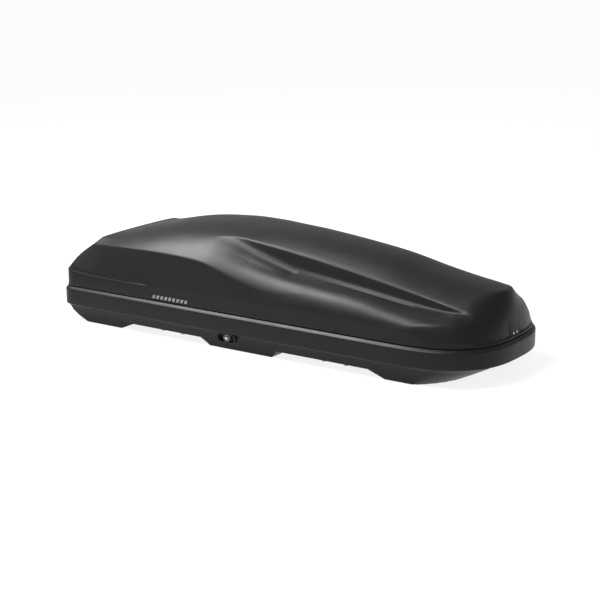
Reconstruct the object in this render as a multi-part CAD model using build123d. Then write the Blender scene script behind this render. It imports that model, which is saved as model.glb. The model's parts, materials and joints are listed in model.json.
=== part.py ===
from build123d import *
import math
import os

# Roof cargo box, millimetres. +X is the nose, -Y the opening side, +Z up, z = 0 the keels' underside.

# ---- driving dimensions -------------------------------------------------
length = 2000.0
width = 700.0
wall = 5.0
hull_height = 78.0
band_height = 68.0
rim_rise = 9.0
rim_width = 30.0
rim_plate = 5.0
flange_width = 34.0
flange_thickness = 4.0
lid_step = 14.0
crown_height = 304.0
nose_length = 403.0
tail_length = 112.0
nose_power = 2.8
tail_power = 4.4

gasket_width = 8.0
gasket_height = 2.7
recess_height = 30.0
rear_recess = (-690.0, -228.0, 6.0, 42.0)
front_recess = (75.0, 592.0, 25.0, 72.0)

rear_clamp_x = -460.0
front_clamp_x = 335.0
clamp_inset = 120.0
rod_radius = 5.0
claw_travel = 20.0

hinge_places = (-560.0, -105.0, 350.0)
striker_places = (-560.0, 350.0)
hinge_lift = 5.0
hinge_pin_radius = 2.0
barrel_radius = 5.0
leaf_thickness = 2.5
leaf_length = 70.0

lock_x = -128.0
lock_z = 51.0
lock_length = 90.0
lock_height = 36.0
lock_lip = 1.0
lock_turn_radius = 15.5
lock_travel = 24.0
bar_thickness = 4.0
bar_gap = 0.3

strut_places = (-640.0, 480.0)
strut_reach = 125.0
strut_base_angle = 233.13
strut_closed_angle = 80.0

running = 0.05
seat_gap = 0.3
rivet_radius = 2.5
rivet_head = 6.0
nose_rivet_head = 4.0
nose_lean = 9.5

# ---- derived places -----------------------------------------------------
half = width / 2
clamp_y = half - clamp_inset
nose_x = length / 2
tail_x = -length / 2
band_low = hull_height
band_high = band_low + band_height
rim_top = band_high + rim_rise
lid_bottom = rim_top + gasket_height + seat_gap
rim_under = rim_top - rim_plate
lid_half = half - lid_step
crown_top = lid_bottom + crown_height
hinge_y = half - barrel_radius
hinge_z = rim_top + hinge_lift
recess_floor = recess_height + wall
rail_top = recess_floor + 3.0


def end_points(middle_x, reach, half_width, power):
    """Points of one rounded end, from the +Y side to the -Y side."""
    points = []
    share = 2 / power
    for degrees in (86, 78, 63, 45, 28, 14, 5, 0, -5, -14, -28, -45, -63, -78, -86):
        angle = math.radians(degrees)
        x = middle_x + reach * math.cos(angle) ** share
        y = half_width * math.copysign(abs(math.sin(angle)) ** share, angle)
        points.append((x, y))
    sides = [[(middle_x - reach * step, side * half_width) for step in (0.1, 0.0)] for side in (1, -1)]
    return [*sides[0], *points, *reversed(sides[1])]


def outline(z, half_width, rear, tail, front, nose):
    """Plan outline of the box at one height: straight sides, round nose, squarer tail."""
    front_points = end_points(front - nose, nose, half_width, nose_power)
    rear_points = end_points(rear + tail, -tail, half_width, tail_power)
    front_end = Spline(front_points)
    rear_end = Spline(rear_points)
    sides = [Line(front_points[i], rear_points[i]) for i in (0, -1)]
    return Plane.XY.offset(z) * make_face([front_end, rear_end, *sides])


def raised(face, reach):
    """Prism upward from a flat face."""
    return extrude(face, reach, dir=(0, 0, 1))


def band_outline(z, inset):
    return outline(z, half - inset, tail_x + inset, tail_length - inset,
                   nose_x - inset, nose_length - inset)


def box_between(low, high):
    """Box from its two opposite corners."""
    size = [high[i] - low[i] for i in range(3)]
    return Pos(*low) * Box(*size, align=(Align.MIN, Align.MIN, Align.MIN))


def rod_along(axis, start, radius, reach):
    """Cylinder from start along +X, +Y or +Z."""
    turn = {"x": (0, 90, 0), "y": (-90, 0, 0), "z": (0, 0, 0)}[axis]
    shape = Cylinder(radius, reach, align=(Align.CENTER, Align.CENTER, Align.MIN))
    return Pos(*start) * Rot(*turn) * shape


def extruded_in_x(points, start, reach):
    """Prism of a YZ polygon."""
    face = Plane.YZ.offset(start) * make_face(Polyline(*points, close=True))
    return extrude(face, reach)


def extruded_in_y(points, start, reach):
    """Prism of an XZ polygon, centred on start."""
    plane = Plane(origin=(0, start, 0), x_dir=(1, 0, 0), z_dir=(0, -1, 0))
    face = plane * make_face(Polyline(*points, close=True))
    return extrude(face, reach, both=True)


# ---- base tray ----------------------------------------------------------
# Hull levels: share of the hull's height, side inset, rear inset, front inset, tail, nose.
hull_levels = (
    (0.0, 50.0, 105.0, 165.0, 95.0, 360.0),
    (0.28, 44.0, 60.0, 120.0, 100.0, 370.0),
    (0.58, 36.0, 32.0, 75.0, 105.0, 380.0),
    (0.90, 26.0, 18.0, 30.0, 110.0, 395.0),
)


def hull_face(level, shrink, lift):
    share, side, rear, front, tail, nose = level
    z = share * hull_height + lift
    return outline(z, half - side - shrink, tail_x + rear + shrink, tail - shrink,
                   nose_x - front - shrink, nose - shrink)


def recess_solid(recess, grow):
    """Crossbar recess in the underside, or the same grown by the wall above it."""
    rear, front, rear_slope, front_slope = recess
    top = recess_height + grow
    points = [(rear - grow, -5), (rear - grow, 0), (rear - grow + rear_slope, top),
              (front + grow - front_slope, top), (front + grow, 0), (front + grow, -5)]
    return extruded_in_y(points, 0, width)


def striker_notch(x):
    """Gap in the lid's flange for one striker."""
    low = (x - 3, -lid_half + 19, lid_bottom - 1)
    return box_between(low, (x + 3, -lid_half + flange_width + 1, lid_bottom + flange_thickness + 1))


def clamp_places():
    return [(x, side * clamp_y) for x in (rear_clamp_x, front_clamp_x) for side in (-1, 1)]


def hinge_pocket(x):
    """Recess in the band's outer face for one hinge's base leaf."""
    return box_between((x - leaf_length / 2, half - leaf_thickness, band_high - 50),
                       (x + leaf_length / 2, half + 1, rim_top + 1))


def lock_opening(grow):
    """Slot through the hull's side for the lock housing."""
    shape = SlotOverall(lock_length + 2 * grow, lock_height + 2 * grow)
    plane = Plane(origin=(lock_x, -half, lock_z), x_dir=(1, 0, 0), z_dir=(0, 1, 0))
    return extrude(plane * shape, 60)


def base_tray():
    outer_faces = [hull_face(level, 0, 0) for level in hull_levels]
    outer_faces += [band_outline(band_low, 7), band_outline(band_low + 12, 0),
                    band_outline(band_high, 0), band_outline(rim_top, 9)]
    inner_faces = [hull_face(level, wall, wall * (1 - level[0])) for level in hull_levels]
    inner_faces += [band_outline(band_low + 5, 7 + wall), band_outline(band_low + 16, wall),
                    band_outline(rim_under, wall)]
    cavity = loft(inner_faces, ruled=True)
    hull = loft(outer_faces, ruled=True)
    for recess in (rear_recess, front_recess):
        hull -= recess_solid(recess, 0)
        cavity -= recess_solid(recess, wall)
    mouth = raised(band_outline(rim_under - 1, rim_width), rim_plate + 5)
    hull = hull - cavity - mouth
    for x, y in clamp_places():
        hull -= rod_along("z", (x, y, recess_height - 1), rod_radius + 1, wall + 2)
        hull -= rod_along("z", (x + 24, y, recess_height - 1), 4, wall + 2)
    for x in hinge_places:
        hull -= hinge_pocket(x)
        for dx in (-22, 22):
            hull -= rod_along("y", (x + dx, half - wall - 1, band_high - 30),
                              rivet_radius + running, wall)
    hull -= lock_opening(seat_gap)
    return hull


def rim_gasket():
    outer = band_outline(rim_top, rim_width - gasket_width - 2)
    inner = band_outline(rim_top, rim_width - 2)
    return raised(outer - inner, gasket_height)


# ---- lid ----------------------------------------------------------------
# Lid stations, from the tail to the nose: x as a share of half the length, then heights above the
# lid's bottom edge and distances in from the side of the box, in the order crown, ridge, foot of the
# ridge, outer edge of the channel, shoulder crease, side crease.
lid_stations = (
    (-1.01, 204, 110, 200, 104, 196, 92, 183, 80, 168, 15, 82),
    (-0.84, 208, 110, 205, 103, 200, 86, 190, 70, 179, 15, 74),
    (-0.67, 247, 110, 218, 104, 216, 75, 203, 50, 190, 15, 66),
    (-0.50, 282, 114, 243, 102, 237, 70, 217, 40, 194, 15, 64),
    (-0.32, 300, 130, 264, 114, 255, 70, 225, 32, 190, 15, 64),
    (-0.19, 304, 157, 275, 142, 246, 88, 214, 28, 175, 15, 64),
    (-0.06, 304, 160, 262, 146, 208, 98, 192, 24, 155, 15, 64),
    (0.10, 298, 160, 245, 148, 173, 100, 171, 28, 132, 15, 63),
    (0.30, 280, 160, 217, 149, 152, 98, 153, 44, 130, 15, 61),
    (0.48, 257, 160, 188, 150, 133, 94, 136, 43, 116, 15, 59),
    (0.64, 222, 160, 161, 151, 114, 94, 115, 44, 100, 17, 58),
    (0.78, 199, 160, 134, 153, 104, 115, 102, 53, 90, 20, 56),
    (0.87, 187, 160, 117, 156, 108, 145, 106, 70, 91, 30, 55),
    (1.01, 167, 165, 87, 161, 82, 155, 77, 100, 67, 50, 47),
)
# Tail levels: height above the lid's bottom edge and distance in from the tail.
tail_levels = ((0.0, 14.0), (77.0, 30.0), (132.0, 72.0), (182.0, 138.0), (208.0, 160.0), (330.0, 240.0))
# Nose levels: height above the lid's bottom edge, then distance in from the nose on the centre line,
# at the ridge, at the shoulder and out beyond the side.
nose_levels = (
    (8.0, 22.0, 49.0, 152.0, 425.0),
    (49.0, 23.0, 60.0, 175.0, 450.0),
    (92.0, 28.0, 85.0, 225.0, 500.0),
    (152.0, 43.0, 165.0, 380.0, 620.0),
    (323.0, 100.0, 430.0, 760.0, 960.0),
)
nose_marks = (0.0, 190.0, 300.0, half + 20)


def lid_section(station, shrink, low):
    """Closed section of the lid's top envelope at one station."""
    x = station[0] * length / 2
    crown_z = lid_bottom + station[1] * crown_height / 304.0 - shrink
    side = []
    for i in range(2, len(station), 2):
        y = half - station[i] - shrink
        z = lid_bottom + station[i + 1] * crown_height / 304.0 - shrink
        side.append((y, z))
    side.append((half - 10 - shrink, low))
    right = [Vector(x, y, z) for y, z in side]
    left = [Vector(x, -y, z) for y, z in side]
    edges = [ThreePointArc(left[0], Vector(x, 0, crown_z), right[0])]
    for points in (left, right):
        edges += [Line(points[i], points[i + 1]) for i in range(len(points) - 1)]
    edges.append(Line(left[-1], right[-1]))
    return make_face(edges)


def nose_front(z, points, back):
    """Plan face behind the nose's front line at one height."""
    left = [(x, -y) for x, y in reversed(points[1:])]
    front = Spline([*left, *points])
    first, last = left[0], points[-1]
    edges = [front, Line(last, (back, last[1])), Line((back, last[1]), (back, first[1])),
             Line((back, first[1]), first)]
    return Plane.XY.offset(z) * make_face(edges)


def lid_body(shrink, low):
    """Solid lid shape: the drafted plan outline, under the stations, behind the nose's levels."""
    plan = []
    for rise, inset in tail_levels:
        z = max(lid_bottom + rise, low) if rise else low
        nose = nose_length - lid_step - shrink
        plan.append(outline(z, lid_half - shrink, tail_x + inset + shrink, tail_length - 14,
                            nose_x - lid_step - shrink, nose))
    body = loft(plan, ruled=True)
    envelope = loft([lid_section(s, shrink, low - 1) for s in lid_stations], ruled=True)
    faces = []
    for level in ((-1.0, *[inset - 30 for inset in nose_levels[0][1:]]), *nose_levels):
        z = lid_bottom + level[0] if level[0] > 0 else low - 1
        points = [(nose_x - inset - shrink, y) for inset, y in zip(level[1:], nose_marks)]
        faces.append(nose_front(z, points, tail_x - 50))
    facet = loft(faces, ruled=True)
    return body & envelope & facet


def lid_shell():
    shell = lid_body(0, lid_bottom) - lid_body(wall - 1, lid_bottom - 1)
    flange = band_outline(lid_bottom, lid_step + 1) - band_outline(lid_bottom, lid_step + flange_width)
    shell += raised(flange, flange_thickness)
    for x in striker_places:
        shell -= striker_notch(x)
        for dx in (-33, 33):
            shell -= rod_along("y", (x + dx, -half, lid_bottom + 14), rivet_radius + running, 30)
    for x in hinge_places:
        for dx in (-10, 10):
            shell -= rod_along("y", (x + dx, half - 30, lid_bottom + 30), rivet_radius + running, 30)
    for y in (-14, 14):
        shell -= rod_along("x", (nose_x - 60, y, lid_bottom + 16), rivet_radius + running, 60)
    return shell


def lid_edge_rail(side):
    """Angle strip on top of the lid's flange."""
    outer = side * (lid_half - 18)
    inner = side * (lid_half - flange_width)
    low = lid_bottom + flange_thickness
    places, gap = (strut_places, 24) if side > 0 else (striker_places, 6)
    rear, front = min(places) + gap, max(places) - gap
    strip = box_between((rear, min(outer, inner), low), (front, max(outer, inner), low + 2))
    lip = side * (lid_half - flange_width + 2)
    upright = box_between((rear, min(inner, lip), low), (front, max(inner, lip), low + 14))
    return strip + upright


# ---- hinges -------------------------------------------------------------
def hinge_base_leaf(x):
    plate = box_between((x - leaf_length / 2, half - leaf_thickness, band_high - 50),
                        (x + leaf_length / 2, half, hinge_z))
    leaf = plate
    for start in (x - 35, x + 13.5):
        leaf += rod_along("x", (start, hinge_y, hinge_z), barrel_radius, 21.5)
    leaf -= rod_along("x", (x - 13.5, hinge_y, hinge_z), barrel_radius + seat_gap, 27)
    leaf -= box_between((x - 13.5, half - 6, band_high + 4), (x + 13.5, half + 1, hinge_z + 1))
    leaf -= rod_along("x", (x - 36, hinge_y, hinge_z), hinge_pin_radius + running, 72)
    for dx in (-22, 22):
        leaf -= rod_along("y", (x + dx, half - 10, band_high - 30), rivet_radius + running, 20)
    return leaf


def hinge_lid_leaf(x):
    leaf = rod_along("x", (x - 13, hinge_y, hinge_z), barrel_radius, 26)
    face_y = lid_half
    leaf += box_between((x - 13, face_y, hinge_z + 2.5), (x + 13, hinge_y, hinge_z + barrel_radius))
    leaf += box_between((x - 25, face_y, hinge_z + 7), (x + 25, face_y + leaf_thickness, lid_bottom + 44))
    leaf += box_between((x - 13, face_y, hinge_z + 2.5), (x + 13, face_y + leaf_thickness, hinge_z + 8))
    leaf -= rod_along("x", (x - 14, hinge_y, hinge_z), hinge_pin_radius + running, 28)
    for dx in (-10, 10):
        leaf -= rod_along("y", (x + dx, half - 30, lid_bottom + 30), rivet_radius + running, 40)
    return leaf


def hinge_pin(x):
    return rod_along("x", (x - 34.5, hinge_y, hinge_z), hinge_pin_radius, 69)


# ---- rivets -------------------------------------------------------------
def rivet(axis, start, grip, head_first, radius=rivet_head):
    """Dome-headed rivet: a flat head of 1.5 mm and a shank as long as its grip."""
    step = {"x": (1, 0, 0), "y": (0, 1, 0)}[axis]
    shank = rod_along(axis, start, rivet_radius, grip)
    reach = -1.5 if head_first else grip
    place = tuple(start[i] + step[i] * reach for i in range(3))
    return shank + rod_along(axis, place, radius, 1.5)


def striker_rivets():
    solids = []
    for x in striker_places:
        for dx in (-33, 33):
            solids.append(rivet("y", (x + dx, -lid_half - seat_gap, lid_bottom + 14), 8, True))
    return Compound(children=solids)


def hinge_lid_rivets():
    solids = []
    for x in hinge_places:
        for dx in (-10, 10):
            start = (x + dx, lid_half - wall - 1, lid_bottom + 30)
            solids.append(rivet("y", start, wall + 1 + leaf_thickness, False, 4.5))
    return Compound(children=solids)


def hinge_base_rivets():
    solids = []
    for x in hinge_places:
        for dx in (-22, 22):
            solids.append(rivet("y", (x + dx, half - wall, band_high - 30), wall, True))
    return Compound(children=solids)


def nose_rivets():
    head_x = nose_x - lid_step - nose_lean + 2.2
    solids = [rivet("x", (head_x - 14, y, lid_bottom + 16), 14, False, nose_rivet_head)
              for y in (-14, 14)]
    return Compound(children=solids)


# ---- strikers, nose locator ---------------------------------------------
striker_y = -lid_half + 26.5
finger_z = rim_under - 14


def striker(x):
    """Riveted plate that hangs from the lid, with the hole that the lock bar's finger enters."""
    inner = -lid_half + wall + 0.5
    low = lid_bottom + flange_thickness
    top = low + 24
    shape = box_between((x - 45, inner, low), (x + 45, inner + 3, top))
    shape += box_between((x - 2, inner, low), (x + 2, striker_y + 6.5, top))
    shape += box_between((x - 2, striker_y - 6.5, finger_z - 10), (x + 2, striker_y + 6.5, top))
    shape -= rod_along("x", (x - 3, striker_y, finger_z), 5, 6)
    for dx in (-33, 33):
        shape -= rod_along("y", (x + dx, inner - 1, lid_bottom + 14), rivet_radius + running, 6)
    return shape


def nose_locator():
    """Blade under the nose of the lid."""
    x = nose_x - lid_step - 36
    blade = box_between((x, -15, finger_z - 16), (x + 4, 15, lid_bottom))
    foot = box_between((x - 11, -18, lid_bottom + flange_thickness), (x + 18, 18, lid_bottom + 7))
    upright = box_between((x + 15, -18, lid_bottom + flange_thickness), (x + 18, 18, lid_bottom + 28))
    for y in (-14, 14):
        upright -= rod_along("x", (x + 14, y, lid_bottom + 16), rivet_radius + running, 5)
    return blade, foot + upright


def nose_keeper():
    """Guide on the tray's nose wall that holds the locator's blade from both sides."""
    x = nose_x - lid_step - 36
    shape = box_between((x + 7, -24, finger_z - 12), (x + 11, 24, rim_under - 2))
    for side in (-1, 1):
        low, high = sorted((side * 18.5, side * 24))
        shape += box_between((x - 6, low, finger_z - 12), (nose_x - wall - 1.5, high, rim_under - 2))
    return shape


# ---- lock ---------------------------------------------------------------
hull_side = half - 31.0
housing_back = -hull_side + 22
bar_y = housing_back + 4
bar_low = lock_z + 46
bar_high = bar_low + 16
bar_rear = min(striker_places) - 50
bar_front = max(striker_places) - 36


def lock_housing():
    plane = Plane(origin=(lock_x, -hull_side - 5, lock_z), x_dir=(1, 0, 0), z_dir=(0, 1, 0))
    well = SlotOverall(lock_length - 8, lock_height - 6)
    lip = SlotOverall(lock_length + 2 * lock_lip, lock_height + 2 * lock_lip)
    body = extrude(plane * SlotOverall(lock_length, lock_height), housing_back + hull_side + 5)
    body -= extrude(plane * well, 14)
    body += extrude(plane * (lip - well), -2.5)
    body -= rod_along("y", (lock_x, -half, lock_z), 6 + running, 200)
    return body


def lock_knob():
    front = -hull_side - 6
    knob = rod_along("y", (lock_x, front + 4, lock_z), 15, 10)
    knob += box_between((lock_x - 13, front, lock_z - 5), (lock_x + 13, front + 4, lock_z + 5))
    knob += rod_along("y", (lock_x, front + 10, lock_z), 6, bar_y + 7 - front - 10)
    knob -= rod_along("y", (lock_x, front - 1, lock_z), 4 + running, 13)
    return knob


def key_cylinder():
    front = -hull_side - 6
    barrel = rod_along("y", (lock_x, front - 0.5, lock_z), 4, 12)
    return barrel - box_between((lock_x - 2.6, front - 2, lock_z - 0.6), (lock_x + 2.6, front + 6, lock_z + 0.6))


def lock_pinion():
    disc = rod_along("y", (lock_x, bar_y, lock_z), lock_turn_radius, 6)
    return disc - rod_along("y", (lock_x, bar_y - 1, lock_z), 6 + running, 8)


def lock_bar():
    """Sliding bar with a rack over the pinion and one finger for each striker."""
    bar = box_between((bar_rear, bar_y, bar_low), (bar_front, bar_y + bar_thickness, bar_high))
    rack_low = lock_z + lock_turn_radius + bar_gap
    bar += box_between((lock_x - 45, bar_y, rack_low), (lock_x + 25, bar_y + bar_thickness, bar_low))
    for x in striker_places:
        tab = x - 42
        bar += box_between((tab, striker_y - 6, bar_high - 6), (tab + 5, bar_y + bar_thickness, bar_high))
        bar += box_between((tab, striker_y - 6, bar_high - 6), (tab + 5, striker_y + 6, finger_z + 6))
        bar += rod_along("x", (tab, striker_y, finger_z), 4, 34)
    return bar


def bar_guides():
    """Four blocks on the tray's side wall that carry the lock bar."""
    solids = []
    for x in (bar_rear + 70, lock_x - 110, lock_x + 110, bar_front - 70):
        low, high = bar_low - 3, bar_high + 6
        block = box_between((x - 6, -half + wall, low), (x + 6, bar_y + bar_thickness + 5, high))
        block -= box_between((x - 7, bar_y - bar_gap, bar_low - bar_gap),
                             (x + 7, bar_y + bar_thickness + bar_gap, bar_high + bar_gap))
        solids.append(block)
    return Compound(children=solids)


# ---- floor rails and crossbar clamps ------------------------------------
def floor_rail(side):
    rear, front = rear_recess[0], front_recess[1] - front_recess[3]
    y = side * clamp_y
    rail = box_between((rear + 10, y - 30, recess_floor), (front, y + 30, rail_top))
    for x in (rear_clamp_x, front_clamp_x):
        rail -= rod_along("z", (x, y, recess_floor - 1), rod_radius + 1, 6)
        rail -= rod_along("z", (x + 24, y, recess_floor - 1), 4, 6)
    return rail


def clamp_seat(x, y):
    seat = box_between((x - 36, y - 24, rail_top), (x + 36, y + 24, rail_top + 14))
    seat = fillet(seat.edges().filter_by(Axis.Z), 8)
    seat -= rod_along("z", (x, y, rail_top - 1), rod_radius + running, 16)
    seat -= rod_along("z", (x + 24, y, rail_top - 1), 3 + running, 16)
    return seat


def clamp_claw(x, y):
    top = recess_height - 3
    claw = box_between((x - 58, y - 20, top - 5), (x + 58, y + 20, top))
    for side in (-1, 1):
        low, high = sorted((x + side * 50, x + side * 58))
        claw += box_between((low, y - 20, 5), (high, y + 20, top))
        low, high = sorted((x + side * 44, x + side * 58))
        claw += box_between((low, y - 20, 5), (high, y + 20, 9))
    claw += rod_along("z", (x, y, top - 1), rod_radius, rail_top + 56 - top)
    claw += rod_along("z", (x + 24, y, top - 1), 3, rail_top + 13 - top)
    return claw


def clamp_knob(x, y):
    low = rail_top + 14 + seat_gap
    knob = rod_along("z", (x, y, low), 20, 22)
    for i in range(5):
        place = Pos(x, y, 0) * Rot(0, 0, i * 72) * Pos(21, 0, 0)
        knob += place * rod_along("z", (0, 0, low + 6), 9, 16)
    knob += rod_along("z", (x, y, low + 22), 12, 8)
    return knob - rod_along("z", (x, y, low - 1), rod_radius + running, 60)


# ---- gas struts ---------------------------------------------------------
def turned(angle, reach):
    return (reach * math.cos(math.radians(angle)), reach * math.sin(math.radians(angle)))


base_arm = turned(strut_base_angle, strut_reach)
lid_arm = turned(strut_base_angle - strut_closed_angle, strut_reach)
strut_foot = (hinge_y + base_arm[0], hinge_z + base_arm[1])
strut_head = (hinge_y + lid_arm[0], hinge_z + lid_arm[1])
strut_span = math.dist(strut_foot, strut_head)
strut_lean = math.degrees(math.atan2(strut_head[0] - strut_foot[0], strut_head[1] - strut_foot[1]))
tube_end = 106.0


def on_strut(shape, x):
    """Places a shape drawn along +Z from the origin on the strut's line."""
    return Pos(x, *strut_foot) * Rot(-strut_lean, 0, 0) * shape


def strut_cylinder(x):
    eye = rod_along("x", (-4, 0, 0), 9, 8)
    tube = rod_along("z", (0, 0, 13), 9, tube_end - 13)
    body = eye + rod_along("z", (0, 0, 4), 4, 12) + tube
    body -= rod_along("x", (-5, 0, 0), 4 + running, 10)
    body -= rod_along("z", (0, 0, 15), 4 + running, tube_end)
    return on_strut(body, x)


def strut_rod(x):
    rod = rod_along("z", (0, 0, 17), 4, strut_span - 17 - 8)
    rod += rod_along("x", (-4, 0, strut_span), 11, 8)
    rod -= rod_along("x", (-5, 0, strut_span), 7.6, 10)
    return on_strut(rod, x)


def strut_base_bracket(x):
    y, z = strut_foot
    shape = box_between((x - 16, y - 6, recess_floor), (x + 16, y + 22, recess_floor + 3))
    for side in (-1, 1):
        low, high = sorted((x + side * 5, x + side * 8))
        shape += box_between((low, y - 6, recess_floor), (high, y + 8, z + 7))
    return shape + rod_along("x", (x - 9, y, z), 4, 18)


def strut_lid_bracket(x):
    y, z = strut_head
    low_z = lid_bottom + flange_thickness
    wall_y = lid_half - wall - 3.0
    points = [(wall_y - 26, low_z), (wall_y, low_z), (wall_y, z), (y + 4, z + 10),
              (y - 7, z + 5), (y - 7, z - 6), (y + 6, z - 8)]
    shape = box_between((x - 20, wall_y - 3, low_z), (x + 20, wall_y, z))
    for start in (x - 8.5, x + 5.5):
        shape += extruded_in_x(points, start, 3)
    return shape + rod_along("x", (x - 8, y, z), 2.25, 16)


# ---- load straps --------------------------------------------------------
strap_places = (-165.0, 5.0)
strap_width = 25.0
strap_half = half - 60.0


def load_strap(x):
    return box_between((x - strap_width / 2, -strap_half, wall + seat_gap),
                       (x + strap_width / 2, strap_half, wall + seat_gap + 1.5))


def strap_buckle(x):
    low = wall + seat_gap + 1.5 + seat_gap
    frame = box_between((x - 18, -24, low), (x + 18, 24, low + 9))
    return fillet(frame.edges().filter_by(Axis.Z), 6)


def strap_anchors():
    solids = []
    low = wall + seat_gap + 1.5
    for x in strap_places:
        for side in (-1, 1):
            near, far = sorted((side * (strap_half - 22), side * (strap_half - 2)))
            solids.append(box_between((x - 17, near, low), (x + 17, far, low + 2.5)))
    return Compound(children=solids)


# ---- write the nodes ----------------------------------------------------
os.makedirs("parts", exist_ok=True)


def write(name, shape):
    solids = shape.solids()
    kept = solids[0] if len(solids) == 1 else Compound(children=list(solids))
    export_step(kept, "parts/" + name + ".step")


write("base_tray", base_tray())
write("rim_gasket", rim_gasket())
write("lid_shell", lid_shell())
write("lid_edge_rail_left", lid_edge_rail(1))
write("lid_edge_rail_right", lid_edge_rail(-1))
for name, x in zip(("rear", "middle", "front"), hinge_places):
    write("hinge_base_leaf_" + name, hinge_base_leaf(x))
    write("hinge_lid_leaf_" + name, hinge_lid_leaf(x))
    write("hinge_pin_" + name, hinge_pin(x))
write("striker_rivets", striker_rivets())
write("hinge_lid_rivets", hinge_lid_rivets())
write("hinge_base_rivets", hinge_base_rivets())
write("nose_rivets", nose_rivets())
for name, x in zip(("rear", "front"), striker_places):
    write("striker_" + name, striker(x))
locator_blade, locator_foot = nose_locator()
write("nose_locator_blade", locator_blade)
write("nose_locator_foot", locator_foot)
write("nose_keeper", nose_keeper())
write("lock_housing", lock_housing())
write("lock_knob", lock_knob())
write("key_cylinder", key_cylinder())
write("lock_pinion", lock_pinion())
write("lock_bar", lock_bar())
write("bar_guides", bar_guides())
write("floor_rail_left", floor_rail(1))
write("floor_rail_right", floor_rail(-1))
for (x, y), name in zip(clamp_places(), ("rear_right", "rear_left", "front_right", "front_left")):
    write("clamp_seat_" + name, clamp_seat(x, y))
    write("clamp_claw_" + name, clamp_claw(x, y))
    write("clamp_knob_" + name, clamp_knob(x, y))
for name, x in zip(("rear", "front"), strut_places):
    write("strut_cylinder_" + name, strut_cylinder(x))
    write("strut_rod_" + name, strut_rod(x))
    write("strut_base_bracket_" + name, strut_base_bracket(x))
    write("strut_lid_bracket_" + name, strut_lid_bracket(x))
for name, x in zip(("rear", "front"), strap_places):
    write("load_strap_" + name, load_strap(x))
    write("strap_buckle_" + name, strap_buckle(x))
write("strap_anchors", strap_anchors())
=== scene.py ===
# %% [markdown]
# # A roof cargo box
# A roof box is two vacuum-formed plastic shells. The base tray carries a deep outward band and two
# recesses for the crossbars; the lid is a long low shell with a raised crown and a channel along each
# flank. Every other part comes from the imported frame, so only the two shells and a row of slanted
# bars are new.

# %% Load the frame
import json
import math
import bmesh
import bpy
from mathutils import Matrix, Vector


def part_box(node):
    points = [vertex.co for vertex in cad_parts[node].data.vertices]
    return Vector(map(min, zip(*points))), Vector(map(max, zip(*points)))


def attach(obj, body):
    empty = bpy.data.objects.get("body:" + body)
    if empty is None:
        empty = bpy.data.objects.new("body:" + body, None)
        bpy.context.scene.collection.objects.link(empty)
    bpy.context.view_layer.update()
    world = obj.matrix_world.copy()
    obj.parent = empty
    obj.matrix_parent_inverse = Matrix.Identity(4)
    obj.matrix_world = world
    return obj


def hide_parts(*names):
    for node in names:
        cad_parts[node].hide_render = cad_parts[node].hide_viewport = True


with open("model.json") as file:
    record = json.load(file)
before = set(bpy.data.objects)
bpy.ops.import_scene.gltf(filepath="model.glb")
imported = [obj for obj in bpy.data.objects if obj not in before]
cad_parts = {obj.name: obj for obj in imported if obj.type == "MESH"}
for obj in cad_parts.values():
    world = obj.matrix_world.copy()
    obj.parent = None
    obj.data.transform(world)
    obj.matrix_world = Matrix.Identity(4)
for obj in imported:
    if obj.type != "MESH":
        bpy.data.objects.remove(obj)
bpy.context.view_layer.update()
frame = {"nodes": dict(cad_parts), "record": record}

# %% [markdown]
# The sizes below are in metres. The outline is straight along the sides, a blunt superellipse at the
# nose and a much squarer one at the tail, as the band of the real box is.

# %% Driving sizes
HALF_LENGTH = 1.0
HALF_WIDTH = 0.35
NOSE_LENGTH, NOSE_POWER = 0.403, 2.8
TAIL_LENGTH, TAIL_POWER = 0.112, 4.4
LID_STEP = 0.014
RIM_TOP = 0.155
LID_BOTTOM = 0.158
BAND_LOW = 0.078
RECESS_HEIGHT = 0.030
REAR_RECESS = (-0.690, -0.684, -0.270, -0.228)
FRONT_RECESS = (0.075, 0.100, 0.520, 0.592)
LID_WALL = 0.004
TRAY_WALL = 0.005


def half_width_at(x, inset):
    """Half width of the outline at x, for an outline drawn in from the band by inset."""
    half = HALF_WIDTH - inset
    nose_start = HALF_LENGTH - NOSE_LENGTH
    tail_start = -HALF_LENGTH + TAIL_LENGTH
    if x > nose_start:
        share, power = (x - nose_start) / (NOSE_LENGTH - inset), NOSE_POWER
    elif x < tail_start:
        share, power = (tail_start - x) / (TAIL_LENGTH - inset), TAIL_POWER
    else:
        return half
    return half * max(1 - min(share, 1) ** power, 0) ** (1 / power)


def end_x_at(y, inset, at_nose):
    """Where the outline's nose or tail is at one distance from the centre line."""
    share = min(abs(y) / (HALF_WIDTH - inset), 1)
    if at_nose:
        reach = (NOSE_LENGTH - inset) * (1 - share ** NOSE_POWER) ** (1 / NOSE_POWER)
        return HALF_LENGTH - NOSE_LENGTH + reach
    reach = (TAIL_LENGTH - inset) * (1 - share ** TAIL_POWER) ** (1 / TAIL_POWER)
    return -HALF_LENGTH + TAIL_LENGTH - reach


def outward(x, y):
    """Unit vector that points out of the outline at a point on it."""
    nose_start = HALF_LENGTH - NOSE_LENGTH
    tail_start = -HALF_LENGTH + TAIL_LENGTH
    if x > nose_start:
        share, power, reach = (x - nose_start) / NOSE_LENGTH, NOSE_POWER, NOSE_LENGTH
    elif x < tail_start:
        share, power, reach = (x - tail_start) / TAIL_LENGTH, TAIL_POWER, TAIL_LENGTH
    else:
        return Vector((0, math.copysign(1, y), 0))
    along = math.copysign(abs(share) ** (power - 1), share) / reach
    across = math.copysign((abs(y) / HALF_WIDTH) ** (power - 1), y) / HALF_WIDTH
    return Vector((along, across, 0)).normalized()
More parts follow.
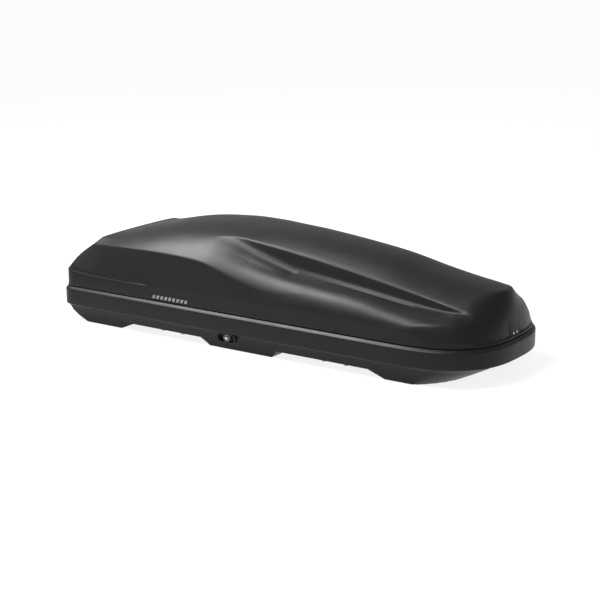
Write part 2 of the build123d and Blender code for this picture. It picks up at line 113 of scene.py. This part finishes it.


# %% [markdown]
# A smooth curve through a few given points is all that the styling lines need. One helper reads
# a table with rounded bends and one with straight runs, and two more blend surfaces with a small
# fillet where they meet.

# %% Curve and blend helpers
def curve_through(points, at):
    """Smooth curve through (position, value) points, read at one position."""
    if at <= points[0][0]:
        return points[0][1]
    for i in range(len(points) - 1):
        x0, x1 = points[i][0], points[i + 1][0]
        if at <= x1:
            break
    else:
        return points[-1][1]
    slopes = []
    for k in (i, i + 1):
        before, after = max(k - 1, 0), min(k + 1, len(points) - 1)
        slopes.append((points[after][1] - points[before][1]) / (points[after][0] - points[before][0]))
    span, t = x1 - x0, (at - x0) / (x1 - x0)
    y0, y1 = points[i][1], points[i + 1][1]
    return (y0 * (1 + 2 * t) * (1 - t) ** 2 + slopes[0] * span * t * (1 - t) ** 2
            + y1 * t * t * (3 - 2 * t) - slopes[1] * span * t * t * (1 - t))


def straight_through(points, at):
    """The same with straight runs between the points."""
    if at <= points[0][0]:
        return points[0][1]
    for (x0, y0), (x1, y1) in zip(points, points[1:]):
        if at <= x1:
            return y0 + (y1 - y0) * (at - x0) / (x1 - x0)
    return points[-1][1]


def lower_of(a, b, fillet):
    """The lower of two heights, rounded where they cross."""
    h = min(max(0.5 + 0.5 * (b - a) / fillet, 0), 1)
    return b * (1 - h) + a * h - fillet * h * (1 - h)


def higher_of(a, b, fillet):
    """The higher of two heights, rounded where they cross."""
    return -lower_of(-a, -b, fillet)


# %% [markdown]
# The lid's shape is set the way a body stylist sets one: by lines that run from tail to nose. Each
# row below is one station. It gives the crown's height, and then how far out and how high each line
# is: the ridge, the foot of the ridge, the channel's outer edge, the shoulder and the side crease.

# %% Lid stations, in millimetres
STATIONS = (
    (-1010, 362, 240, 358, 246, 354, 258, 341, 270, 326, 335, 240),
    (-840, 366, 240, 363, 247, 358, 264, 348, 280, 337, 335, 232),
    (-670, 405, 240, 376, 246, 374, 275, 361, 300, 348, 335, 224),
    (-500, 440, 236, 401, 248, 395, 280, 375, 310, 352, 335, 222),
    (-320, 458, 220, 422, 236, 413, 280, 383, 318, 348, 335, 222),
    (-190, 461, 193, 433, 208, 404, 262, 372, 322, 333, 335, 222),
    (-60, 461, 190, 420, 204, 370, 250, 348, 326, 311, 335, 222),
    (100, 456, 190, 403, 202, 336, 250, 323, 322, 288, 335, 221),
    (300, 438, 190, 375, 201, 313, 252, 307, 306, 286, 335, 219),
    (480, 415, 190, 346, 200, 291, 256, 294, 307, 274, 335, 217),
    (640, 380, 190, 319, 199, 272, 256, 272, 306, 258, 333, 216),
    (780, 357, 190, 292, 197, 262, 235, 260, 297, 248, 330, 214),
    (870, 345, 190, 275, 194, 266, 205, 264, 280, 249, 320, 213),
    (1010, 325, 185, 245, 189, 240, 195, 235, 250, 225, 300, 205),
)
COLUMNS = [[(row[0] / 1000, row[k] / 1000) for row in STATIONS] for k in range(1, 12)]
TAIL_PROFILE = ((0, 0.230), (0.012, 0.243), (0.058, 0.290), (0.124, 0.340), (0.146, 0.366),
                (0.226, 0.488))
NOSE_LEVELS = (
    (0.481, ((-0.190, 0.570), (0, 0.900), (0.190, 0.570), (0.300, 0.240), (0.370, 0.040))),
    (0.310, ((-0.190, 0.835), (0, 0.957), (0.190, 0.835), (0.300, 0.620), (0.370, 0.380))),
    (0.250, ((-0.190, 0.915), (0, 0.972), (0.190, 0.915), (0.300, 0.775), (0.370, 0.500))),
    (0.207, ((-0.190, 0.940), (0, 0.977), (0.190, 0.940), (0.300, 0.825), (0.370, 0.550))),
    (0.166, ((-0.190, 0.951), (0, 0.978), (0.190, 0.951), (0.300, 0.848), (0.370, 0.575))),
)
REAR_SWEEP = ((-0.84, 0.0), (-0.60, 1.0), (-0.30, 1.0), (-0.10, 0.35), (0.12, 0.0))
ROUND_SHOULDER = ((-0.26, 0.0), (0.06, 0.85), (0.25, 1.0))
CROWN_POWER = 2.4
SWEEP_POWER = 3
SHOULDER_POWER, SHOULDER_ROOT = 1.9, 0.62
CREASE_FALL = 1.5


def section_at(x):
    """The lid's cross-section at x, as (distance out, height) points from the crown to the crease."""
    values = [curve_through(column, x) for column in COLUMNS]
    points = [(0.0, values[0])]
    points += [(values[k], values[k + 1]) for k in range(1, 11, 2)]
    return points


def on_section(points, y, sweep, roundness):
    """Height of the cross-section at one distance out."""
    y = abs(y)
    crown, ridge, outer, shoulder, crease = points[0], points[1], points[3], points[4], points[5]
    if y >= crease[0]:
        return crease[1] - (y - crease[0]) * CREASE_FALL
    if y <= ridge[0]:
        z = crown[1] - (crown[1] - ridge[1]) * (y / ridge[0]) ** CROWN_POWER
    else:
        z = straight_through(points[1:], y)
    if sweep and y <= shoulder[0]:
        z += sweep * (crown[1] - (crown[1] - shoulder[1]) * (y / shoulder[0]) ** SWEEP_POWER - z)
    if roundness and y >= outer[0]:
        share = (y - outer[0]) / (crease[0] - outer[0])
        bulge = (1 - share ** SHOULDER_POWER) ** SHOULDER_ROOT
        z += roundness * (crease[1] + (outer[1] - crease[1]) * bulge - z)
    return z


def nose_height(x, y):
    """Height of the nose's surface over one point of the plan."""
    line = [(curve_through(level, abs(y)), z) for z, level in NOSE_LEVELS]
    return curve_through(sorted(line), x)


# %% Lid surface
BEND_LEAST, BEND_MOST = 0.0014, 0.012
BEND_SHARE = 0.8
BEND_STEPS = 3
TAIL_FILLET, NOSE_FILLET = 0.012, 0.014


def lid_height(x, y, points):
    """Height of the lid's skin over one point of the plan."""
    sweep, roundness = curve_through(REAR_SWEEP, x), curve_through(ROUND_SHOULDER, x)
    ridge, shoulder = points[1][0], points[4][0]
    room = min(BEND_SHARE * (abs(y) - ridge), BEND_SHARE * (shoulder - abs(y)), BEND_MOST)
    reach = max(BEND_LEAST, room)
    heights = [on_section(points, y + reach * i / BEND_STEPS, sweep, roundness)
               for i in range(-BEND_STEPS, BEND_STEPS + 1)]
    tail = curve_through(TAIL_PROFILE, x - end_x_at(y, LID_STEP, False))
    body = lower_of(sum(heights) / len(heights), tail, TAIL_FILLET)
    return lower_of(body, nose_height(x, y), NOSE_FILLET)


# %% [markdown]
# Both shells start as a grid that is pulled into the plan outline, so that its rows run across the
# box. The rows crowd together where the outline turns, and the columns follow the styling lines. The
# open edge is then extruded, loop by loop, into the band, the lip and the flange, and the sheet gets
# its wall thickness last, from the inside.

# %% Grid in the plan outline
LEDGE_FADE = ((-0.62, 1.0), (-0.48, 0.0))
LEDGE_LIFT = ((-0.985, 0.014), (-0.93, 0.011), (-0.84, 0.003), (-0.75, 0.0))
LEDGE_LOW = 0.2
LEAST_DROP = 0.0002
NOSE_ROWS, TAIL_ROWS = 40, 10
ROW_DEGREES = range(2, 90, 4)
TIP_MARGIN = 0.01
LEAST_ROW_GAP = 0.0012
CROWDING = 0.09


def rows_between(inset, spacing, extra):
    """Row positions from tail to nose, closer together at the two ends."""
    places = set(extra)
    tail, nose = -HALF_LENGTH + inset, HALF_LENGTH - inset
    steps = round((nose - tail) / spacing)
    tail_start, nose_start = -HALF_LENGTH + TAIL_LENGTH, HALF_LENGTH - NOSE_LENGTH
    places.update(tail_start + (nose_start - tail_start) * i / steps for i in range(steps + 1))
    for degrees in ROW_DEGREES:
        turn = math.cos(math.radians(degrees))
        places.add(tail_start - (TAIL_LENGTH - inset) * turn ** (2 / TAIL_POWER))
        places.add(nose_start + (NOSE_LENGTH - inset) * turn ** (2 / NOSE_POWER))
    for i in range(1, NOSE_ROWS):
        places.add(nose_start + (NOSE_LENGTH - inset - TIP_MARGIN) * i / NOSE_ROWS)
    for i in range(1, TAIL_ROWS):
        places.add(tail_start - (TAIL_LENGTH - inset - TIP_MARGIN) * i / TAIL_ROWS)
    kept = []
    for x in sorted(places):
        if tail < x < nose and (not kept or x - kept[-1] > LEAST_ROW_GAP):
            kept.append(x)
    return kept


def columns_between(marks, counts):
    """Shares of the half width, with more columns where a styling line runs."""
    places = [0.0]
    for (low, high), count in zip(zip(marks, marks[1:]), counts):
        for i in range(1, count + 1):
            t = i / count
            places.append(low + (high - low) * (t - math.sin(2 * math.pi * t) * CROWDING))
    return [-p for p in reversed(places[1:])] + places


def plan_grid(rows, columns, place):
    """A grid whose points are moved by place(row x, column share)."""
    bm = bmesh.new()
    bmesh.ops.create_grid(bm, x_segments=len(rows) - 1, y_segments=len(columns) - 1, size=0.5)
    for vert in bm.verts:
        i = round((vert.co.x + 0.5) * (len(rows) - 1))
        j = round((vert.co.y + 0.5) * (len(columns) - 1))
        vert.co = place(rows[i], columns[j])
    return bm


def extrude_edge_loop(bm, steps, downward=False):
    """Extrudes the open edge once per step: distance out, height, and extra distance out at the rear."""
    edges = [e for e in bm.edges if e.is_boundary]
    for out, z, rear_ledge in steps:
        made = bmesh.ops.extrude_edge_only(bm, edges=edges)["geom"]
        verts = [g for g in made if isinstance(g, bmesh.types.BMVert)]
        edges = [g for g in made if isinstance(g, bmesh.types.BMEdge)]
        for vert in verts:
            way = outward(vert.co.x, vert.co.y)
            vert.co += way * (out + rear_ledge * straight_through(LEDGE_FADE, vert.co.x))
            lift = curve_through(LEDGE_LIFT, vert.co.x) if z > LEDGE_LOW else 0.0
            vert.co.z = min(z + lift, vert.co.z - LEAST_DROP) if downward else z


def finish_piece(bm, name, sharp_degrees=35):
    """Turns a bmesh into a smooth-shaded object with its true edges kept sharp."""
    mesh = bpy.data.meshes.new(name)
    bm.to_mesh(mesh)
    bm.free()
    for face in mesh.polygons:
        face.use_smooth = True
    mesh.set_sharp_from_angle(angle=math.radians(sharp_degrees))
    piece = bpy.data.objects.new(name, mesh)
    bpy.context.scene.collection.objects.link(piece)
    return piece


def apply_modifiers(piece):
    """Makes the modifiers' result the piece's own mesh."""
    bpy.context.view_layer.update()
    graph = bpy.context.evaluated_depsgraph_get()
    mesh = bpy.data.meshes.new_from_object(piece.evaluated_get(graph))
    piece.modifiers.clear()
    piece.data = mesh


def add_wall(piece, thickness):
    """Gives a sheet its wall, on its inner side."""
    wall = piece.modifiers.new("wall", "SOLIDIFY")
    wall.thickness, wall.offset, wall.use_even_offset = thickness, -1, False
    apply_modifiers(piece)


# %% Lid shell
LID_LIMITS = (0.62, 0.66, 0.80, 0.985)


def lid_place(x, share):
    """Where one point of the lid's grid goes. Whole numbers of share are the styling lines."""
    points = section_at(x)
    edge = half_width_at(x, LID_STEP)
    lines = [0.0] + [min(p[0], limit * edge) for p, limit in zip(points[1:5], LID_LIMITS)] + [edge]
    k = min(int(abs(share)), 4)
    y = lines[k] + (lines[k + 1] - lines[k]) * (abs(share) - k)
    y = math.copysign(y, share)
    return Vector((x, y, lid_height(x, y, points)))


lid_rows = rows_between(LID_STEP, 0.0105, ())
lid_columns = columns_between((0, 1, 2, 3, 4, 5), (12, 7, 7, 9, 8))
lid_bm = plan_grid(lid_rows, lid_columns, lid_place)
LID_LOOPS = ((0.0, 0.2150, 0.0002), (0.0, 0.2140, 0.0030), (0.0, 0.2125, 0.0006), (0.0, 0.1650, 0.0),
             (0.0, 0.1632, 0.0), (0.0010, 0.1628, 0.0), (0.0004, 0.1620, 0.0), (0.0, 0.1590, 0.0),
             (-0.0006, 0.1582, 0.0), (-0.002, LID_BOTTOM, 0.0), (-0.033, LID_BOTTOM, 0.0))
extrude_edge_loop(lid_bm, LID_LOOPS, downward=True)
bmesh.ops.recalc_face_normals(lid_bm, faces=lid_bm.faces)
lid = finish_piece(lid_bm, "lid_shell_skin")
add_wall(lid, LID_WALL)
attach(lid, "lid")
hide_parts("lid_shell")
print("lid faces", len(lid.data.polygons))

# %% [markdown]
# The tray is the same kind of sheet, seen from below: a keel that rises to the band all round, with
# two recesses pressed up into it where the crossbars go.

# %% Base tray
SIDE_RISE = ((0.007, 0.078), (0.026, 0.070), (0.036, 0.045), (0.044, 0.022), (0.050, 0.0))
TAIL_RISE = ((0.007, 0.078), (0.018, 0.070), (0.032, 0.045), (0.060, 0.022), (0.105, 0.0))
NOSE_RISE = ((0.007, 0.078), (0.030, 0.070), (0.075, 0.045), (0.120, 0.022), (0.165, 0.0))
TRAY_EDGE = 0.007
HULL_FILLET = 0.012
RECESS_BEND = 0.002


def recess_rise(x):
    """Height of the crossbar recesses at x."""
    rise = 0.0
    for rear_foot, rear_top, front_top, front_foot in (REAR_RECESS, FRONT_RECESS):
        profile = ((rear_foot, 0), (rear_top, RECESS_HEIGHT), (front_top, RECESS_HEIGHT), (front_foot, 0))
        rise = max(rise, straight_through(profile, x))
    return rise


def tray_place(x, share):
    """Where one point of the tray's grid goes."""
    edge = half_width_at(x, TRAY_EDGE)
    y = share * edge
    side = straight_through(SIDE_RISE, HALF_WIDTH - abs(y))
    tail = straight_through(TAIL_RISE, x - end_x_at(y, 0, False))
    nose = straight_through(NOSE_RISE, end_x_at(y, 0, True) - x)
    steep = max(side, tail, nose)
    hull = higher_of(higher_of(side, tail, HULL_FILLET), nose, HULL_FILLET)
    hull = steep + (hull - steep) * min(steep / HULL_FILLET, 1)
    hull = max(min(hull, BAND_LOW), 0.0)
    return Vector((x, y, max(hull, recess_rise(x))))


recess_edges = [x + d for x in REAR_RECESS + FRONT_RECESS for d in (-RECESS_BEND, 0.0, RECESS_BEND)]
tray_rows = rows_between(TRAY_EDGE, 0.010, recess_edges)
tray_columns = columns_between((0, 0.80, 0.87, 0.93, 1.0), (10, 10, 14, 14))
tray_bm = plan_grid(tray_rows, tray_columns, tray_place)
TRAY_LOOPS = ((0.004, 0.0785), (0.0022, 0.0805), (0.0008, 0.0845), (0.0, 0.1400), (-0.0004, 0.1440),
              (-0.0012, 0.1458), (-0.0018, 0.1472), (-0.0056, 0.1542), (-0.002, RIM_TOP),
              (-0.018, RIM_TOP), (-0.0015, 0.1545), (-0.0005, 0.1535), (0.0, 0.1500))
extrude_edge_loop(tray_bm, [(out, z, 0.0) for out, z in TRAY_LOOPS])
bmesh.ops.recalc_face_normals(tray_bm, faces=tray_bm.faces)
if sum(f.normal.z * f.calc_area() for f in tray_bm.faces if f.calc_center_median().z < 0.03) > 0:
    bmesh.ops.reverse_faces(tray_bm, faces=tray_bm.faces)
tray = finish_piece(tray_bm, "base_tray_shell")
add_wall(tray, TRAY_WALL)

# %% [markdown]
# The lock's slot, the pockets for the hinge leaves and the holes for the clamps' rods and guide pins
# are cut with one Boolean. Each cutter is a primitive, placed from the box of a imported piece: the leaf
# in its pocket, the seat above its rod and its pin, and the housing in its slot.

# %% Cutters for the tray's openings
POCKET_DEPTH = 0.0025
POCKET_REACH = 0.01
POCKET_GAP = 0.0002
ROD_HOLE_RADIUS, PIN_HOLE_RADIUS = 0.006, 0.004
PIN_OFFSET = 0.024
ROD_CUT = 0.03
HOUSING_OVERLAP = 0.0009
SLOT_Y, SLOT_DEPTH = -0.32, 0.05
ON_CENTRE = 1e-5


def grown_box(bm, low, high, gap):
    """Adds a box that is larger than low to high by gap on every side."""
    size = high - low + Vector((2 * gap, 2 * gap, 2 * gap))
    place = Matrix.Translation((low + high) / 2) @ Matrix.Diagonal((*size, 1))
    bmesh.ops.create_cube(bm, size=1, matrix=place)


def upright_rod(bm, x, y, radius):
    """Adds a round bar that stands through the top of a crossbar recess."""
    place = Matrix.Translation((x, y, RECESS_HEIGHT))
    bmesh.ops.create_cone(bm, cap_ends=True, segments=32, radius1=radius, radius2=radius,
                          depth=ROD_CUT, matrix=place)


cutter_bm = bmesh.new()
for place_name in ("rear", "middle", "front"):
    low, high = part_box("hinge_base_leaf_" + place_name)
    low, high = Vector(low), Vector(high)
    low.y = HALF_WIDTH - POCKET_DEPTH
    high.y += POCKET_REACH
    grown_box(cutter_bm, low, high, POCKET_GAP)
CLAMPS = ("rear_right", "rear_left", "front_right", "front_left")
for place_name in CLAMPS:
    seat_low, seat_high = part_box("clamp_seat_" + place_name)
    x, y = (seat_low[0] + seat_high[0]) / 2, (seat_low[1] + seat_high[1]) / 2
    upright_rod(cutter_bm, x, y, ROD_HOLE_RADIUS)
    upright_rod(cutter_bm, x + PIN_OFFSET, y, PIN_HOLE_RADIUS)

# %% Cut the tray's openings
housing_low, housing_high = (Vector(v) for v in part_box("lock_housing"))
lock_centre = (housing_low + housing_high) / 2
lock_radius = (housing_high.z - housing_low.z) / 2 - HOUSING_OVERLAP
lock_straight = (housing_high.x - housing_low.x) / 2 - HOUSING_OVERLAP - lock_radius
turn = (Matrix.Translation((lock_centre.x, SLOT_Y, lock_centre.z))
        @ Matrix.Rotation(math.pi / 2, 4, "X"))
slot = bmesh.ops.create_cone(cutter_bm, cap_ends=True, segments=48, radius1=lock_radius,
                             radius2=lock_radius, depth=SLOT_DEPTH, matrix=turn)
for vert in slot["verts"]:
    if abs(vert.co.x - lock_centre.x) > ON_CENTRE:
        vert.co.x += math.copysign(lock_straight, vert.co.x - lock_centre.x)
bmesh.ops.recalc_face_normals(cutter_bm, faces=cutter_bm.faces)
cutter = finish_piece(cutter_bm, "tray_cutter")
cut = tray.modifiers.new("openings", "BOOLEAN")
cut.operation, cut.solver, cut.object = "DIFFERENCE", "EXACT", cutter
apply_modifiers(tray)
bpy.data.objects.remove(cutter)
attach(tray, "base")
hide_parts("base_tray")
print("tray faces", len(tray.data.polygons))

# %% [markdown]
# A row of plain slanted bars sits low on the lid's near side, where the real box carries a printed
# mark. Each bar is a thin box whose upper edge is pushed along, and all of them are one piece.

# %% Slanted bars
BAR_STEP, BAR_WIDTH, BAR_SLANT = 0.0205, 0.0125, 0.005
BAR_LOW, BAR_HIGH = 0.1665, 0.1800
BAR_COUNT, BAR_START = 9, -0.492
BAR_FACE, BAR_BACK = -0.3376, -0.3364
bars_bm = bmesh.new()
for i in range(BAR_COUNT):
    bar_x = BAR_START + i * BAR_STEP
    bar_low = Vector((bar_x, BAR_FACE, BAR_LOW))
    bar_high = Vector((bar_x + BAR_WIDTH, BAR_BACK, BAR_HIGH))
    size = bar_high - bar_low
    place = Matrix.Translation((bar_low + bar_high) / 2) @ Matrix.Diagonal((*size, 1))
    made = bmesh.ops.create_cube(bars_bm, size=1, matrix=place)["verts"]
    for vert in made:
        vert.co.x += BAR_SLANT if vert.co.z > (BAR_LOW + BAR_HIGH) / 2 else 0
bars = finish_piece(bars_bm, "slanted_bars")
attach(bars, "lid")
print("slanted bars", BAR_COUNT)

# %% [markdown]
# The shells are black ABS with a fine leather-like texture from the forming mould. It scatters the
# light into a soft sheen, so the roughness is middling and the bump is small and very fine.

# %% Material helpers
METAL_SPECULAR, PLASTIC_SPECULAR = 0.5, 0.18
NOISE_MIDDLE = (0.3, 0.7)
COLOUR_MIDDLE = (0.35, 0.65)
MOULD_GRAIN = 1400


def new_material(name, colour, roughness, metallic=0.0):
    """A Principled material with constant values on its own sockets."""
    material = bpy.data.materials.new(name)
    material.use_nodes = True
    shader = material.node_tree.nodes["Principled BSDF"]
    shader.inputs["Base Color"].default_value = (*colour, 1)
    shader.inputs["Roughness"].default_value = roughness
    shader.inputs["Metallic"].default_value = metallic
    shader.inputs["Specular IOR Level"].default_value = METAL_SPECULAR if metallic else PLASTIC_SPECULAR
    return material, shader


def add_noise(material, scale, detail=3.0, stretch=(1, 1, 1)):
    """Noise on Object coordinates, stretched along the axes if asked."""
    nodes, links = material.node_tree.nodes, material.node_tree.links
    coords = nodes.new("ShaderNodeTexCoord")
    mapping = nodes.new("ShaderNodeMapping")
    mapping.inputs["Scale"].default_value = stretch
    noise = nodes.new("ShaderNodeTexNoise")
    noise.inputs["Scale"].default_value = scale
    noise.inputs["Detail"].default_value = detail
    links.new(coords.outputs["Object"], mapping.inputs["Vector"])
    links.new(mapping.outputs["Vector"], noise.inputs["Vector"])
    return noise.outputs["Fac"]


def add_bump(material, shader, height, strength, distance):
    """Lets a pattern shade the surface as if it stood up by distance."""
    nodes, links = material.node_tree.nodes, material.node_tree.links
    bump = nodes.new("ShaderNodeBump")
    bump.inputs["Strength"].default_value = strength
    bump.inputs["Distance"].default_value = distance
    links.new(height, bump.inputs["Height"])
    links.new(bump.outputs["Normal"], shader.inputs["Normal"])


def vary(material, shader, socket, noise, low, high):
    """Lets a noise move one socket between two values."""
    nodes, links = material.node_tree.nodes, material.node_tree.links
    ramp = nodes.new("ShaderNodeMapRange")
    ramp.inputs["From Min"].default_value, ramp.inputs["From Max"].default_value = NOISE_MIDDLE
    ramp.inputs["To Min"].default_value, ramp.inputs["To Max"].default_value = low, high
    links.new(noise, ramp.inputs["Value"])
    links.new(ramp.outputs["Result"], shader.inputs[socket])


def vary_colour(material, shader, noise, dark, light):
    """Lets a noise move the colour between two values."""
    nodes, links = material.node_tree.nodes, material.node_tree.links
    ramp = nodes.new("ShaderNodeValToRGB")
    low_end, high_end = ramp.color_ramp.elements
    low_end.position, high_end.position = COLOUR_MIDDLE
    low_end.color = (*dark, 1)
    high_end.color = (*light, 1)
    links.new(noise, ramp.inputs["Fac"])
    links.new(ramp.outputs["Color"], shader.inputs["Base Color"])


# %% [markdown]
# The other finishes are moulded plastic, plated or bare metal, and woven webbing. A plastic gets a
# fine grain, a metal a grain that can be stretched along one axis, and the webbing a diagonal weave,
# so that three short functions serve all of them.


# %% Finishes
def textured_shell():
    """Black sheet plastic with a fine moulded grain and a cloudy sheen."""
    material, shader = new_material("textured_black_abs", (0.008, 0.0082, 0.009), 0.42)
    grain = add_noise(material, 900, 2.0)
    add_bump(material, shader, grain, 0.35, 0.0004)
    cloud = add_noise(material, 7, 3.0)
    vary(material, shader, "Roughness", cloud, 0.38, 0.46)
    speckle = add_noise(material, 260, 2.0)
    vary_colour(material, shader, speckle, (0.0050, 0.0052, 0.0056), (0.0075, 0.0078, 0.0083))
    return material


def moulded(name, dark, light, roughness):
    """Injection-moulded plastic, rubber or paint."""
    material, shader = new_material(name, dark, roughness)
    vary_colour(material, shader, add_noise(material, 90), dark, light)
    add_bump(material, shader, add_noise(material, MOULD_GRAIN, 2.0), 0.25, 0.0002)
    vary(material, shader, "Roughness", add_noise(material, 40), roughness - 0.05, roughness + 0.05)
    return material


def metal(name, dark, light, roughness, stretch, scale=500):
    """Plated or bare metal, with its grain stretched along an axis if asked."""
    material, shader = new_material(name, dark, roughness, 1.0)
    vary_colour(material, shader, add_noise(material, 60), dark, light)
    add_bump(material, shader, add_noise(material, scale, 2.0, stretch), 0.2, 0.0001)
    streaks = add_noise(material, 120, 3.0, stretch)
    vary(material, shader, "Roughness", streaks, roughness - 0.08, roughness + 0.08)
    return material


def webbing():
    """Black woven strap with a diagonal weave."""
    material, shader = new_material("woven_webbing", (0.02, 0.02, 0.022), 0.85)
    nodes, links = material.node_tree.nodes, material.node_tree.links
    coords = nodes.new("ShaderNodeTexCoord")
    weave = nodes.new("ShaderNodeTexWave")
    weave.wave_type, weave.bands_direction = "BANDS", "DIAGONAL"
    weave.inputs["Scale"].default_value = 260
    weave.inputs["Distortion"].default_value = 1.5
    links.new(coords.outputs["Object"], weave.inputs["Vector"])
    add_bump(material, shader, weave.outputs["Fac"], 0.6, 0.0004)
    vary_colour(material, shader, weave.outputs["Fac"], (0.015, 0.015, 0.017), (0.035, 0.035, 0.038))
    return material


FINISHES = {
    "shell_plastic": textured_shell(),
    "gasket_rubber": moulded("seal_rubber", (0.008, 0.008, 0.008), (0.014, 0.014, 0.014), 0.7),
    "aluminium_strip": metal("mill_aluminium", (0.62, 0.63, 0.65), (0.72, 0.73, 0.74), 0.34, (0.05, 1, 1)),
    "galvanised_steel": metal("zinc_plate", (0.46, 0.48, 0.51), (0.62, 0.64, 0.66), 0.38, (1, 1, 1), 160),
    "black_steel": moulded("black_powder_coat", (0.012, 0.012, 0.012), (0.022, 0.022, 0.022), 0.5),
    "bright_steel": metal("bright_steel", (0.55, 0.55, 0.56), (0.68, 0.68, 0.69), 0.28, (1, 1, 1)),
    "black_nylon": moulded("glass_filled_nylon", (0.012, 0.012, 0.012), (0.02, 0.02, 0.02), 0.42),
    "knob_grey": moulded("grey_knob_plastic", (0.16, 0.165, 0.17), (0.21, 0.215, 0.22), 0.4),
    "chrome": metal("lock_chrome", (0.75, 0.75, 0.76), (0.82, 0.82, 0.83), 0.16, (1, 1, 1)),
    "clamp_steel": metal("clamp_zinc", (0.40, 0.41, 0.43), (0.55, 0.56, 0.58), 0.36, (1, 1, 0.2), 220),
    "knob_plastic": moulded("clamp_knob_plastic", (0.02, 0.02, 0.021), (0.03, 0.03, 0.031), 0.45),
    "strut_black": moulded("strut_enamel", (0.006, 0.006, 0.006), (0.009, 0.009, 0.009), 0.2),
    "webbing": webbing(),
}

print("finishes", len(FINISHES))

# %% [markdown]
# The record names a finish for each part of the frame, so every part looks its finish up there. The
# two new shells take the same finish as the parts that they replace, and the bars the grey plastic.

# %% Give every piece its finish
slots = {entry["node"]: entry["material_slot"] for entry in frame["record"]["subparts"]}
for node_name, node in frame["nodes"].items():
    node.data.materials.clear()
    node.data.materials.append(FINISHES[slots[node_name]])
for piece, slot_name in ((lid, "shell_plastic"), (tray, "shell_plastic"), (bars, "knob_grey")):
    piece.data.materials.clear()
    piece.data.materials.append(FINISHES[slot_name])

# %% [markdown]
# The box stands in a white studio: a pale floor that runs far back, one large soft light above the
# tail's near side, and a small one that picks out the round shoulder near the nose.

# %% Floor
FLOOR_SIZE, FLOOR_DROP = 30, 0.0005
floor_bm = bmesh.new()
bmesh.ops.create_grid(floor_bm, x_segments=1, y_segments=1, size=FLOOR_SIZE)
bmesh.ops.translate(floor_bm, verts=floor_bm.verts, vec=(0, 0, -FLOOR_DROP))
floor = finish_piece(floor_bm, "studio_floor")
floor_material, floor_shader = new_material("studio_white", (0.2, 0.2, 0.2), 0.9)
floor_shader.inputs["Emission Color"].default_value = (1, 1, 1, 1)
floor_shader.inputs["Emission Strength"].default_value = 0.86
floor.data.materials.append(floor_material)


# %% Lights
def soft_light(name, place, target, size, power):
    """A rectangular area light that faces a target."""
    data = bpy.data.lights.new(name, "AREA")
    data.shape, data.size, data.size_y = "RECTANGLE", size[0], size[1]
    data.energy = power
    lamp = bpy.data.objects.new(name, data)
    lamp.location = place
    lamp.rotation_euler = (Vector(target) - Vector(place)).to_track_quat("-Z", "Y").to_euler()
    bpy.context.scene.collection.objects.link(lamp)


soft_light("overhead_softbox", (-2.2, -0.75, 3.5), (0, 0, 0.2), (1.9, 1.5), 330)
soft_light("shoulder_light", (0.1, -2.3, 3.3), (0.5, -0.25, 0.25), (0.9, 0.7), 130)

world = bpy.data.worlds.new("studio")
world.use_nodes = True
world.node_tree.nodes["Background"].inputs["Color"].default_value = (1, 1, 1, 1)
world.node_tree.nodes["Background"].inputs["Strength"].default_value = 0.45
bpy.context.scene.world = world
bpy.context.scene.view_settings.view_transform = "Standard"

# %% [markdown]
# The camera stands far off with a long lens, ahead of the box on its near side and a little above it,
# so that the box shows with little perspective.

# %% Camera
CAMERA_DISTANCE = 6.619
BACK = Vector((0.5440, -0.8026, 0.2447)).normalized()
AIM = Vector((0, 0, 0.2))
camera_data = bpy.data.cameras.new("camera")
camera_data.lens, camera_data.sensor_width = 97.66, 36
camera_data.shift_x, camera_data.shift_y = 0.00208, -0.01707
camera = bpy.data.objects.new("camera", camera_data)
camera.location = AIM + BACK * CAMERA_DISTANCE
camera.rotation_euler = (-BACK).to_track_quat("-Z", "Y").to_euler()
bpy.context.scene.collection.objects.link(camera)
bpy.context.scene.camera = camera
